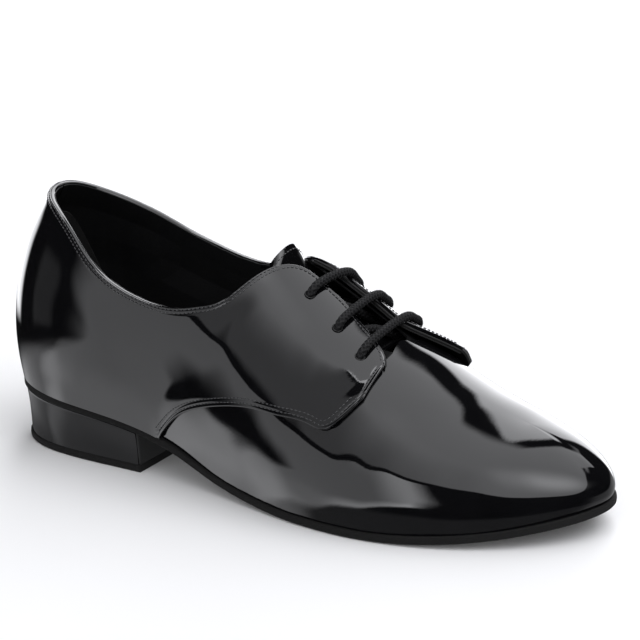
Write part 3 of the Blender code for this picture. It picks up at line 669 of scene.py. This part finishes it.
def cornerLining():
    # the matt back of the inner facing, which shows where its corner stands up
    u, t, _, fromTop, _, fromFront = quarterGrid(inner)
    keep = np.where(u[0] > locate(inner, 150, y=14.4)[0])[0]
    depth = np.linspace(0.35, 27, 30)
    ts = np.array([np.interp(-depth, -fromTop[:, k], t[:, k]) for k in keep]).T
    us = np.broadcast_to(u[0, keep], ts.shape)
    front = np.broadcast_to(fromFront[0, keep], ts.shape)
    deep = np.broadcast_to(depth[:, None], ts.shape)
    lift = tabLift(inner, surface(inner, us, ts)[..., 0], deep, front)
    grids = [skin(inner, us, ts, lift + off) for off in (0.16, -0.75)]
    addPiece("cornerLining", outwards(gridMesh(*grids)), "lining")


for side in (outer, inner):
    facingEdge(side)
cornerLining()
print("facings made")

# vamp, its lining, sole and sock are continuous pieces across the ball, which lies between these two x; they
# are baked into the frame and put on no body
bend = tuple((float(place((x, 0, 0))[0]), 0.0, 0.0) for x in (190, 228))


def bothSides(start, columns, rows, off, tLow):
    # rows across the ridge, from the outer side's edge to the inner's, each from u = start to the toe's
    # tip; off is one depth, a grid of depths or a function
    across = np.linspace(-1, 1, 2 * rows + 1)
    along = np.linspace(0, 1, columns + 1)
    grid = np.zeros((len(across), len(along), 3))
    for i, b in enumerate(across):
        side = inner if b > 0 else outer
        t = tLow + (1 - tLow) * (1 - abs(b)) ** 0.8
        first = start(side, t)
        u = first + (1 - first) * along
        depth = off(u) if callable(off) else np.broadcast_to(off, grid.shape[:2])[i]
        grid[i] = skin(side, u, np.full_like(u, t), depth)
    grid[rows:, -1] = grid[rows::-1, -1]
    return grid


def vampRear(side):
    rear = [(uAt(side, quarters["seamFoot"] - 8), 0.0)]
    rear += [locate(side, x, z=z + 10) for x, z in quarters["seam"][side][1:6]]
    rear += [locate(side, 184, z=55), (uAt(side, 184), 0.9), (uAt(side, 181.5), 1.0)]
    u, height = np.array(rear).T
    return u, np.maximum.accumulate(height)


rearLines = {side: vampRear(side) for side in (outer, inner)}
vampLayers = {"leather": (-0.4, -1.4), "lining": (-2.1, -2.9), "liningFrom": 188,
              "toeDrop": -1.6, "toeFrom": (0.79, 0.84)}   # where the lining drops under the toe puff


def wing(side, t):
    return float(np.interp(t, rearLines[side][1], rearLines[side][0]))


def makeVamp():
    columns, rows, foot = 150, 60, 0.001
    top, under = vampLayers["leather"]
    flat = bothSides(wing, columns, rows, top, foot)
    swell = lump(flat, 15, 0.12, 21) + lump(flat, 32, 0.60, 27)
    fade = 1 - smooth(np.linspace(0, 1, columns + 1), 0.93, 1.0)
    grids = [bothSides(wing, columns, rows, off, foot) for off in (top + swell * fade, under)]
    addPiece("vamp", outwards(gridMesh(*grids, folded=True)), "patent",
             replaces=["vamp_wings", "vamp_crease", "vamp_front"], bends=bend)


def makeVampLining():
    def start(side, t):
        return float(uAt(side, vampLayers["liningFrom"]))

    def sink(layer):
        return lambda u: layer + vampLayers["toeDrop"] * smooth(u, *vampLayers["toeFrom"])
    grids = [bothSides(start, 40, 18, sink(layer), 0.02) for layer in vampLayers["lining"]]
    addPiece("vampLining", outwards(gridMesh(*grids, folded=True)), "lining",
             replaces=["vamp_lining_crease", "vamp_lining_front"], bends=bend)


makeVamp()
makeVampLining()
print("vamp made")

sole = {"top": -0.12, "thick": 3.3, "proud": 0.8, "x": (-0.2, 277.6), "sockLow": 3.2, "sockTop": 4.3,
        "inset": 5.4, "middle": 137, "fuzz": 0.16, "edgeRound": 0.5}


def planLine(side, x, inset):
    u = uAt(side, x)
    ahead, behind = edge(side, np.minimum(u + 0.004, 1)), edge(side, np.maximum(u - 0.004, 0))
    tangent = unit(ahead - behind)
    return edge(side, u) + side * np.stack([tangent[..., 1], -tangent[..., 0]], -1) * inset


def bottomSheet(x0, x1, levels, columns, across, squareFront=False):
    # a flat layer whose rim goes through the levels' (height, inset) pairs, from the top to the underside
    a = np.linspace(0, 1, columns + 1)
    a = 1 - np.cos(np.pi * a / 2) if squareFront else (1 - np.cos(np.pi * a)) / 2
    x = x0 + (x1 - x0) * a
    b = (1 - np.cos(np.pi * np.linspace(0, 1, across + 1))) / 2
    grids = []
    for height, inset in levels:
        sides = []
        for side in (outer, inner):
            p = planLine(side, x, inset)
            if squareFront:
                p[-1, 0] = x1
            sides.append(p)
        plan = sides[0][None] * (1 - b[:, None, None]) + sides[1][None] * b[:, None, None]
        z = height(plan[..., 0]) if callable(height) else bottomZ(np.clip(plan[..., 0], 0, 280)) + height
        grids.append(np.concatenate([plan, z[..., None]], -1))
    return grids


def stackMesh(grids):
    # closed body through a stack of grids: full sheets at top and bottom, rims in between
    rows, cols = grids[0].shape[:2]
    mesh = bmesh.new()
    bmesh.ops.create_grid(mesh, x_segments=cols - 1, y_segments=rows - 1, size=0.5)
    index = {v: (round((v.co.y + 0.5) * (rows - 1)), round((v.co.x + 0.5) * (cols - 1))) for v in mesh.verts}
    faces = mesh.faces[:]
    for step, grid in enumerate(place(g) for g in grids):
        if step > 0:
            old = {v.co.copy().freeze(): ij for v, ij in index.items()}
            made = bmesh.ops.extrude_face_region(mesh, geom=faces, use_keep_orig=(step == 1))["geom"]
            faces = [g for g in made if isinstance(g, bmesh.types.BMFace)]
            index = {v: old[v.co.copy().freeze()] for v in made if isinstance(v, bmesh.types.BMVert)}
        for v, ij in index.items():
            v.co = grid[ij]
    return mesh


def fuzzRim(grid, level, seed):
    # a napped, slightly uneven rim
    out = grid.copy()
    rows, cols = grid.shape[:2]
    for i in range(rows):
        for j in range(cols):
            if i in (0, rows - 1) or j in (0, cols - 1):
                p = Vector(grid[i, j])
                away = np.array(Vector((p.x - sole["middle"], 3 * p.y)).normalized())
                out[i, j, :2] += away * noise.noise(p * 0.9 + Vector((seed, level, 0))) * sole["fuzz"]
    return out


def makeSole():
    proud, top, thick, r = sole["proud"], sole["top"], sole["thick"], sole["edgeRound"]
    levels = [(top, -proud + r), (top - r * 0.4, -proud + 0.1), (top - r, -proud),
              (top - thick / 2, -proud - 0.05), (top - thick + r, -proud), (top - thick, -proud + r)]
    grids = [fuzzRim(g, k, 4.0) for k, g in enumerate(bottomSheet(*sole["x"], levels, 260, 22))]
    addPiece("sole", outwards(stackMesh(grids)), "suede", replaces=["outsole_rear", "outsole_front"],
             bends=bend)


def makeSock():
    levels = [(sole["sockTop"], sole["inset"] + 0.4), (sole["sockTop"] - 0.3, sole["inset"]),
              (sole["sockLow"], sole["inset"])]
    mesh = outwards(stackMesh(bottomSheet(*sole["x"], levels, 90, 12)))
    addPiece("sockLining", mesh, "lining", replaces=["sock_lining_rear", "sock_lining_front"], bends=bend)


makeSole()
makeSock()
print("bottom made")


heel = {"front": 73, "top": 3.0, "cover": 1.1, "taper": 1.6, "gap": 0.4, "lip": 0.35, "bow": 0.35,
        "underSole": 3.45, "coverFoot": 0.1, "coverHead": 0.25}


def seatZ(x):
    return bottomZ(np.clip(x, 0, 280)) - heel["underSole"] - heel["gap"]


def makeHeelCover():
    turn = np.linspace(0, 1, 70)
    fronts = {side: float(uAt(side, heel["front"])) for side in (outer, inner)}
    path = [(outer, fronts[outer] * q) for q in turn[::-1]] + [(inner, fronts[inner] * q) for q in turn[1:]]
    s = np.concatenate([[0, 0.012, 0.03, 0.07], np.linspace(0.12, 0.88, 12),
                        [0.93, 0.96, 0.975, 0.985, 0.993, 1]])[:, None]
    bow = (heel["bow"] * np.sin(np.pi * s) - heel["lip"] * smooth(s, 0.965, 0.985)
           + 0.2 * smooth(s, 0.985, 0.993))
    grids = []
    for depth in (0.0, heel["cover"]):
        cols = []
        for side, u in path:
            x = float(edge(side, u)[0])
            upper, lower = planLine(side, x, depth), planLine(side, x, depth + heel["taper"])
            if u == 0:
                upper[1] = lower[1] = 0
            plan = lower + (upper - lower) * s
            if depth == 0.0:
                plan = plan + (planLine(side, x, 0) - planLine(side, x, -1)) * bow
            z0, z1 = heel["top"] + heel["coverFoot"], float(seatZ(x)) + heel["coverHead"]
            cols.append(np.concatenate([plan, z0 + (z1 - z0) * s], 1))
        grids.append(np.stack(cols, 1))
    # the cover takes the dimmed copy of the patent, which is painted shade
    addPiece("heelCover", outwards(gridMesh(*grids)), "shadedHeelPatent", replaces=["heel_cover"], angle=0.6)


def flatAt(z):
    return lambda x: z + 0 * x


def makeTopPiece():
    top = heel["top"]
    levels = [(flatAt(z), inset)
              for z, inset in ((top, 1.3), (top - 0.4, 0.95), (1.4, 0.9), (0.3, 1.05), (0, 1.35))]
    sheets = bottomSheet(sole["x"][0], heel["front"] + 1.2, levels, 110, 14, squareFront=True)
    grids = [fuzzRim(g, k, 9.0) for k, g in enumerate(sheets)]
    addPiece("heelTopPiece", outwards(stackMesh(grids)), "suede", replaces=["heel_top_piece"])


makeHeelCover()
makeTopPiece()
print("heel made")


tongue = {"x": [180.6, 175, 168.5, 160, 151, 145, 140, 136, 133, 130.5, 128.5],
          "half": [13, 15, 18, 20, 21, 21.5, 21.5, 21, 20, 18, 14],
          "middle": [-1.6, -7.5, -8.6, -8.3, -8.0, -7.7, -6.2, -4, -1.8, 0.2, 1.2],
          "edge": [-3.2, -7.7, -8.9, -8.3, -8.0, -7.9, -7.8, -7.4, -6.8, -6.2, -5.6], "centreY": 3.5}


def acrossAt(x, y):
    side = inner if y > float(np.interp(x, *last["ridgeY"])) else outer
    u = float(uAt(side, x))
    t = np.linspace(0.4, 1, 400)
    p = surface(side, np.full_like(t, u), t)
    return side, u, float(np.interp(-side * y, -side * p[:, 1], t))


def tonguePoint(x, q, more):
    half, middle, border = (np.interp(x, tongue["x"][::-1], tongue[k][::-1])
                            for k in ("half", "middle", "edge"))
    side, u, t = acrossAt(x, tongue["centreY"] + half * q)
    return skin(side, u, t, middle + (border - middle) * q * q + more)


def makeTongue():
    root, tip = tongue["x"][0], tongue["x"][-1]
    xs = root - (root - tip) * np.linspace(0, 1, 44) ** 0.9
    qs = np.sin(np.linspace(-1, 1, 45) * np.pi / 2)
    for name, node, layers, finish in (("tongueTop", "tongue", (0, -1.1), "patent"),
                                       ("tongueLining", "tongue_lining", (-1.15, -2.4), "lining")):
        grids = [np.array([[tonguePoint(x, q, more) for x in xs] for q in qs]) for more in layers]
        addPiece(name, outwards(gridMesh(*grids)), finish, body="tongue_flap", replaces=[node], angle=0.7)
    down = np.linspace(170, 130.6, 60)
    route = ([(x, -0.9) for x in down] + [(130.2, q) for q in np.linspace(-0.85, 0.85, 40)]
             + [(x, 0.9) for x in down[::-1]])
    path, above = (np.array([tonguePoint(x, q, more) for x, q in route]) for more in (0.05, 1.05))
    mesh = bmesh.new()
    placeStitches(mesh, path, unit(above - path))
    addPiece("tongueStitches", mesh, "thread", body="tongue_flap")


makeTongue()
print("tongue made")

# one braided cord through six eyelets. Heights are off the last: lie is over the leather on the way into
# an eyelet, over and edgeLift are where a bar crosses the inner facing's edge, under is between the bars.
lace = {"radius": 1.86, "strands": 8, "pitch": 8.4, "relief": 0.24, "around": 32, "step": 0.24,
        "lie": (2.2, 1.9, 0.2, -3.4), "over": 3.4, "edgeLift": (1.9, 2.0, 2.0), "under": -5.4,
        "tuck": -7.5, "tails": {outer: ((118, 68), (130, 68), (146, 66), (160, 61)),
                                inner: ((134, 72), (124, 69), (114, 66))}}


def eyeletPoint(side, i, off, toward=0.0, back=0.0):
    x, y = quarters["eyelets"][side][i]
    u, t = locate(side, x - back, y=y - side * toward)
    return skin(side, u, t, off)


def tail(side):
    return [skin(side, *locate(side, x, z=z), lace["tuck"]) for x, z in lace["tails"][side]]


def eyeletLift(side, i):
    return tabLift(side, quarters["eyelets"][side][i][0], 11.0 if side == inner else 10.0, 16.0)


def laceRoute():
    under = lace["under"]

    def endOfBar(side, i):
        lift = quarters["layer"][0] + eyeletLift(side, i)
        over, near, mouth, below = lace["lie"]
        return [eyeletPoint(side, i, over + lift, 5.5), eyeletPoint(side, i, near + lift, 2.2),
                eyeletPoint(side, i, mouth + lift, 0.2), eyeletPoint(side, i, below, -0.6)]

    def bar(i):
        crossing = eyeletPoint(inner, i, lace["over"] + lace["edgeLift"][i], 12.5)
        return [*endOfBar(outer, i)[::-1], crossing, *endOfBar(inner, i)]

    def slant(i):
        return [eyeletPoint(inner, i + 1, under - 0.4, 4.5, 2), eyeletPoint(inner, i + 1, under, 18, 6.5),
                eyeletPoint(outer, i, under - 0.2, 4.5, -2)]
    start = tail(outer) + [eyeletPoint(outer, 2, under - 0.5, 0.5, 5)]
    end = [eyeletPoint(inner, 0, under, -1, 4)] + tail(inner)
    return evenly(start + bar(2) + slant(1) + bar(1) + slant(0) + bar(0) + end, 900)


def steadyFrames(line):
    # side vectors that don't spin along the line
    tangent = unit(np.gradient(line, axis=0))
    aside = np.cross(tangent[0], [0, 0, 1.0])
    out = []
    for v in tangent:
        aside = aside - v * np.dot(aside, v)
        aside = aside / np.linalg.norm(aside)
        out.append(aside)
    return tangent, np.array(out)


def makeLace():
    route = laceRoute()
    length = runAlong(route)[-1]
    line = spaced(route, int(length / lace["step"]))
    tangent, aside = steadyFrames(line)
    other = np.cross(tangent, aside)
    s = np.linspace(0, length, len(line))
    turn = 2 * np.pi * s / lace["pitch"]
    rings = []
    half = lace["strands"] / 2
    for a in np.linspace(0, 2 * np.pi, lace["around"] + 1):
        weave = np.maximum(np.cos(half * (a - turn)), np.cos(half * (a + turn)))
        radius = lace["radius"] - lace["relief"] + lace["relief"] * 1.6 * (weave - 0.35)
        rings.append(line + (aside * np.cos(a) + other * np.sin(a)) * radius[:, None])
    mesh = gridMesh(np.array(rings))
    bmesh.ops.holes_fill(mesh, edges=[e for e in mesh.edges if e.is_boundary])
    addPiece("lace", outwards(mesh), "cord", replaces=["lace"], angle=1.3)
    print("lace length mm", round(length, 1))


eyelet = {"radius": 2.0, "wire": 0.2}


def makeEyelet(side, i):
    lift = quarters["layer"][0] + eyeletLift(side, i)
    centre, above = eyeletPoint(side, i, lift), eyeletPoint(side, i, lift + 1)
    mesh = bmesh.new()
    upright = Matrix.Translation((eyelet["radius"] * mm, 0, 0)) @ Matrix.Rotation(math.pi / 2, 4, "X")
    bmesh.ops.create_circle(mesh, segments=8, radius=eyelet["wire"] * mm, matrix=upright)
    bmesh.ops.spin(mesh, geom=mesh.edges[:] + mesh.verts[:], cent=(0, 0, 0), axis=(0, 0, 1),
                   dvec=(0, 0, 0), angle=2 * math.pi, steps=28, use_merge=True)
    turn = Vector(above - centre).normalized().to_track_quat("Z", "Y").to_matrix().to_4x4()
    bmesh.ops.transform(mesh, matrix=Matrix.Translation(Vector(place(centre))) @ turn, verts=mesh.verts)
    bmesh.ops.remove_doubles(mesh, verts=mesh.verts, dist=1e-6)
    addPiece(f"eyeletRim{words[side].title()}{i + 1}", outwards(mesh), "eyelet",
             replaces=[f"eyelet_{words[side]}_{i + 1}"])


makeLace()
for side in (outer, inner):
    for i in range(3):
        makeEyelet(side, i)
print("lace and eyelets made")

# the frame's own pieces that stay, each with its finish
cadFinish = {"quarter_lining": "lining", "heel_counter": "board", "heel_grip": "suede",
             "heel_block": "plastic", "heel_breast": "rawEdge", "heel_nail": "steel",
             "steel_shank": "steel", "insole_board": "board", "bottom_filler": "cork", "toe_puff": "board",
             "eyelet_": "eyelet", "aglet": "tip"}
for name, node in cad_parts.items():
    for start, finish in cadFinish.items():
        if name.startswith(start):
            node.data.materials.clear()
            node.data.materials.append(finishes[finish])


studio = {"azimuth": 31.899, "elevation": 19.755, "roll": -1.315, "distance": 1.336, "lens": 181.1,
          "target": (139, 0, 45), "aim": (4.6, 22.3), "floor": 8, "floorGlow": 0.05, "drop": 0.0002}


def makeCamera():
    az, el, roll = (math.radians(studio[k]) for k in ("azimuth", "elevation", "roll"))
    back = Vector((math.sin(az) * math.cos(el), -math.cos(az) * math.cos(el), math.sin(el)))
    right = Vector((math.cos(az), math.sin(az), 0))
    up = back.cross(right)
    right, up = right * math.cos(roll) + up * math.sin(roll), up * math.cos(roll) - right * math.sin(roll)
    target = Vector(place(studio["target"]))
    spot = target + back * studio["distance"]
    aim = target + right * studio["aim"][0] * mm + up * studio["aim"][1] * mm
    z = (spot - aim).normalized()
    x = (right - z * right.dot(z)).normalized()
    camera = bpy.data.objects.new("camera", bpy.data.cameras.new("camera"))
    bpy.context.scene.collection.objects.link(camera)
    camera.matrix_world = Matrix.Translation(spot) @ Matrix((x, z.cross(x), z)).transposed().to_4x4()
    camera.data.lens, camera.data.sensor_width = studio["lens"], 36
    camera.data.clip_end = 50
    bpy.context.scene.camera = camera


# The room's soft panels, in degrees round from the camera's side and up from the floor. A pair is where
# a panel's rim starts and ends fading in; where there is a third number it is how far the rim moves.
panels = {
    "side": {"left": (-86, -74), "lowLeft": (-27, -19, 24), "right": (-24, -17), "corner": (-28, 2, 9),
             "foot": -39, "footTurn": (-85, -15, 25), "head": 10, "headTurn": (-54, -28, 20),
             "level": 1.25, "footFrom": (-84, -52, 2.3), "rightFrom": (-44, -24, 2.2)},
    "top": {"left": (-67, -60), "right": (142, 146), "crown": (60, 68), "dip": (-16, 12, 9),
            "climb": (35, 105, 22), "fall": (118, 134, 16), "line": 3.4,
            "level": 0.65, "rightFrom": (-50, 10, 1.4)},
    "spot": {"rise": (28, 56, 56, 82), "around": (5, 50, 50, 100), "level": 2.6},
    "rear": {"from": (151, 154), "low": (-16, -10), "level": 3.6},
    "heel": {"edge": (-138, -130), "span": (-18, -14, -3, 2), "level": 3.8,
             "dim": (-111, -104, -95, -90), "dimLevel": 0.18,
             "low": (-25, -20), "lowTo": (-96, -84), "lowLevel": 0.9},
    "ground": {"low": (-31, -24), "level": 0.16, "far": (50, 85), "farTop": (-4, 3), "farLevel": 0.4},
    "room": 0.012, "tone": (0.965, 0.97, 1.0, 1)}


def levelWay(turn):
    # a level unit vector, turn degrees round from the camera's side
    a = math.radians(studio["azimuth"] + turn)
    return Vector((math.sin(a), -math.cos(a), 0))


def makeRoomLight():
    world = bpy.data.worlds.new("studio")
    bpy.context.scene.world = world
    world.use_nodes = True
    g = Graph(world.node_tree)
    ray = g.node("ShaderNodeTexCoord", out="Generated")

    def along(axis):
        return g.node("ShaderNodeVectorMath", {"operation": "DOT_PRODUCT"}, out="Value", Vector=ray,
                      Vector_001=axis)

    def maths(kind, *values):
        return g.node("ShaderNodeMath", {"operation": kind}, **dict(zip(("Value", "Value_001"), values)))

    def grows(value, start, end, amount):
        return g.ease(value, start, end) * amount

    def below(value, rim):
        return 1 - g.ease(value, *rim)
    around = maths("ARCTAN2", along(levelWay(90)), along(levelWay(0))) * (180 / math.pi)
    rise = maths("ARCSINE", along((0, 0, 1))) * (180 / math.pi)
    away = maths("ABSOLUTE", around)

    p = panels["side"]
    foot = grows(around, *p["footTurn"]) + p["foot"]
    head = grows(around, *p["headTurn"]) + p["head"]
    corner = grows(rise, *p["corner"]) - p["corner"][2]
    leftReach = below(rise, p["lowLeft"][:2]) * p["lowLeft"][2]
    outline = (g.ease(around + leftReach, *p["left"]) * below(around - corner, p["right"])
               * g.ease(rise - foot, 0, 3) * below(rise - head, (-1.2, 0)))
    side = outline * (below(rise - foot, (1, 9)) * grows(around, *p["footFrom"])
                      + grows(around, *p["rightFrom"]) + p["level"])
    p = panels["top"]
    low = (head + p["line"] - grows(around, *p["dip"]) + grows(around, *p["climb"])
           - grows(around, *p["fall"]))
    outline = (g.ease(rise - low, 0, 2) * g.ease(around, *p["left"])
               * (1 - g.ease(around, *p["right"]) * below(rise, p["crown"])))
    top = outline * (grows(around, *p["rightFrom"]) + p["level"])
    p = panels["spot"]
    spot = g.band(rise, *p["rise"]) * g.band(around, *p["around"]) * p["level"]
    p = panels["rear"]
    rear = g.ease(away, *p["from"]) * g.ease(around, -10, 10) * g.ease(rise, *p["low"]) * p["level"]
    p = panels["heel"]
    heelSide = (below(around, p["edge"]) * g.band(rise, *p["span"]) * p["level"]
                + g.band(around, *p["dim"]) * g.band(rise, *p["span"]) * p["dimLevel"]
                + below(around, p["lowTo"]) * below(rise, p["low"]) * p["lowLevel"])
    p = panels["ground"]
    ground = (below(rise, p["low"]) * p["level"]
              + g.ease(around, *p["far"]) * below(rise, p["farTop"]) * p["farLevel"])
    background = g.tree.nodes["Background"]
    background.inputs["Color"].default_value = panels["tone"]
    light = top + side + spot + rear + heelSide + ground + panels["room"]
    g.tree.links.new(light.socket, background.inputs["Strength"])


def makeStudio():
    scene = bpy.context.scene
    scene.view_settings.view_transform = "Standard"
    makeRoomLight()
    mesh = bmesh.new()
    bmesh.ops.create_grid(mesh, x_segments=1, y_segments=1, size=studio["floor"])
    data = bpy.data.meshes.new("floor")
    mesh.to_mesh(data)
    mesh.free()
    floor = bpy.data.objects.new("floor", data)
    scene.collection.objects.link(floor)
    floor.location.z = -studio["drop"]
    f = Finish("paleFloor", Roughness=0.9, Specular_IOR_Level=0.1, Emission_Strength=studio["floorGlow"])
    f.shader.inputs["Emission Color"].default_value = (1, 1, 1, 1)
    data.materials.append(f.give(Base_Color=f.tint(f.grain(2.0), (0.86, 0.86, 0.86), (0.88, 0.88, 0.88))))
    floor.visible_glossy = False


makeCamera()
makeStudio()
print("studio made")
